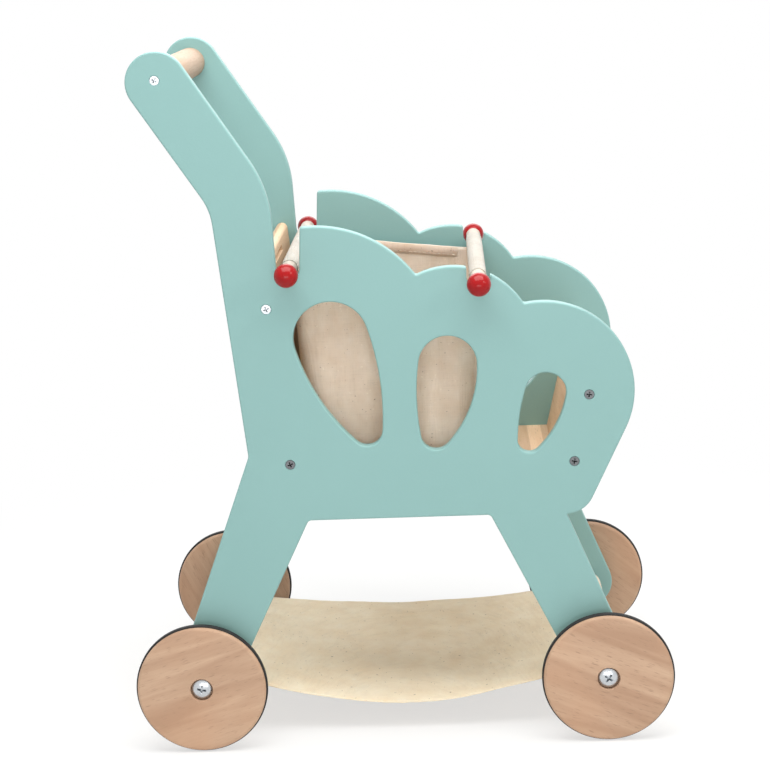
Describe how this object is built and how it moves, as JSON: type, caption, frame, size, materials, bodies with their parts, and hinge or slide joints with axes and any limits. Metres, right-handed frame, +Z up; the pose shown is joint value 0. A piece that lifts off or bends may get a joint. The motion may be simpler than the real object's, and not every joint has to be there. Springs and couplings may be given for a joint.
{
  "type": "doll stroller",
  "caption": "Wooden push-along doll stroller: cut-out side panels with handle arms, a cloth bag on lift-out rods, a cloth sling below and disc wheels.",
  "frame": {"origin": "on the floor, midway between the four wheels", "axes": "+X towards the front, +Y towards the left-hand side of someone who pushes it, +Z up"},
  "size_m": [0.4142, 0.2814, 0.5359],
  "materials": {
    "painted_panel": "satin teal paint on plywood, edges slightly rounded",
    "handle_wood": "bare turned beech",
    "board_wood": "bare plywood",
    "beech": "bare turned beech",
    "wheel_wood": "bare wood with visible grain",
    "tyre_rubber": "matt black rubber",
    "red_ball": "glossy red lacquer on a wooden ball",
    "calico": "unbleached calico with dark seed flecks",
    "sling_calico": "unbleached calico with a fuzzy cut edge",
    "bright_zinc": "bright zinc plate",
    "dark_zinc": "dark zinc plate",
    "insert_brass": "threaded brass insert",
    "nylon": "natural nylon"
  },
  "bodies": {
    "frame": {"side_panel_right": "painted_panel", "side_panel_left": "painted_panel", "handle_bar": "handle_wood", "rear_board": "board_wood", "front_board": "board_wood", "floor_board": "board_wood", "rear_floor_dowel_right": "beech", "rear_floor_dowel_left": "beech", "rear_cross_rail": "beech", "front_floor_dowel_right": "beech", "front_floor_dowel_left": "beech", "front_cross_rail": "beech", "handle_screw_right": "bright_zinc", "handle_screw_left": "bright_zinc", "rear_board_lower_screw_right": "dark_zinc", "rear_board_lower_screw_left": "dark_zinc", "rear_board_upper_screw_right": "bright_zinc", "rear_board_upper_screw_left": "bright_zinc", "front_board_lower_screw_right": "dark_zinc", "front_board_lower_screw_left": "dark_zinc", "front_board_upper_screw_right": "dark_zinc", "front_board_upper_screw_left": "dark_zinc", "wheel_bolt_rear_right": "bright_zinc", "wheel_bush_rear_right": "nylon", "wheel_spacer_rear_right": "nylon", "rail_insert_rear_right": "insert_brass", "wheel_bolt_rear_left": "bright_zinc", "wheel_bush_rear_left": "nylon", "wheel_spacer_rear_left": "nylon", "rail_insert_rear_left": "insert_brass", "wheel_bolt_front_right": "bright_zinc", "wheel_bush_front_right": "nylon", "wheel_spacer_front_right": "nylon", "rail_insert_front_right": "insert_brass", "wheel_bolt_front_left": "bright_zinc", "wheel_bush_front_left": "nylon", "wheel_spacer_front_left": "nylon", "rail_insert_front_left": "insert_brass", "sling": "sling_calico"},
    "rear_right_wheel_set": {"wheel_rear_right": "wheel_wood", "tyre_rear_right": "tyre_rubber"},
    "rear_left_wheel_set": {"wheel_rear_left": "wheel_wood", "tyre_rear_left": "tyre_rubber"},
    "front_right_wheel_set": {"wheel_front_right": "wheel_wood", "tyre_front_right": "tyre_rubber"},
    "front_left_wheel_set": {"wheel_front_left": "wheel_wood", "tyre_front_left": "tyre_rubber"},
    "bag_set": {"bag": "calico", "rear_bag_rod": "beech", "front_bag_rod": "beech", "rear_rod_ball_right": "red_ball", "rear_rod_ball_left": "red_ball", "front_rod_ball_right": "red_ball", "front_rod_ball_left": "red_ball"}
  },
  "joints": [
    {"name": "rear_right_wheel_spin", "type": "hinge", "parent": "frame", "child": "rear_right_wheel_set", "pos_m": [-0.1563, -0.12875, 0.0508], "axis": [0, 1, 0], "continuous": true},
    {"name": "rear_left_wheel_spin", "type": "hinge", "parent": "frame", "child": "rear_left_wheel_set", "pos_m": [-0.1563, 0.12875, 0.0508], "axis": [0, 1, 0], "continuous": true},
    {"name": "front_right_wheel_spin", "type": "hinge", "parent": "frame", "child": "front_right_wheel_set", "pos_m": [0.1563, -0.12875, 0.0508], "axis": [0, 1, 0], "continuous": true},
    {"name": "front_left_wheel_spin", "type": "hinge", "parent": "frame", "child": "front_left_wheel_set", "pos_m": [0.1563, 0.12875, 0.0508], "axis": [0, 1, 0], "continuous": true},
    {"name": "bag_lift", "type": "slide", "parent": "frame", "child": "bag_set", "axis": [0, 0, 1], "range_m": [0, 0.22]}
  ]
}
